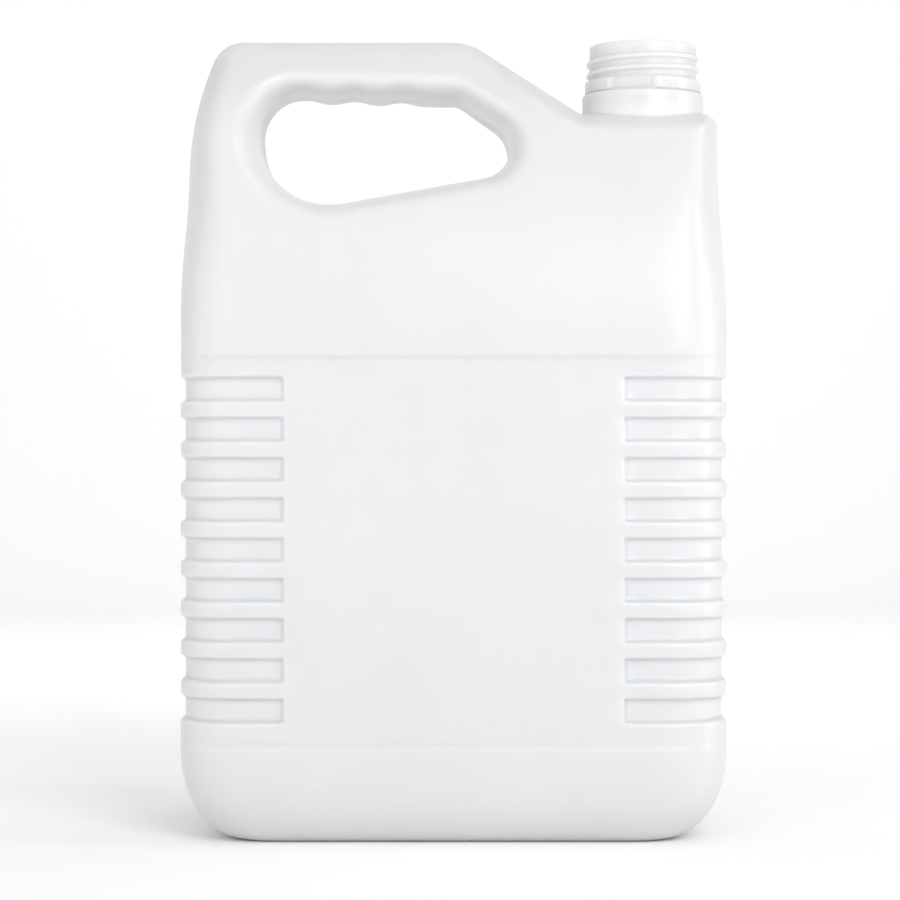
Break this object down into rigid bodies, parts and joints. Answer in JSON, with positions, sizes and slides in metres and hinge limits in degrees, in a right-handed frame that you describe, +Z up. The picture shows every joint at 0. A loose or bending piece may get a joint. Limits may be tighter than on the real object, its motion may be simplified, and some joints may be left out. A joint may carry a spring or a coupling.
{
  "type": "plastic gallon jug",
  "caption": "Open-necked blow-moulded plastic gallon jug with a moulded-in handle, grooved sides, a sunk label panel and a threaded neck.",
  "frame": {"origin": "middle of the base, in the plane of the standing ring, on the mould's parting plane", "axes": "+Z up along the height, +X from the handle towards the neck, +Y from the front face to the back face"},
  "size_m": [0.181, 0.112, 0.269],
  "materials": {
    "natural_plastic": "natural milky polyethylene, satin, lets a little light through"
  },
  "bodies": {
    "root": {"jug": "natural_plastic"}
  },
  "joints": []
}
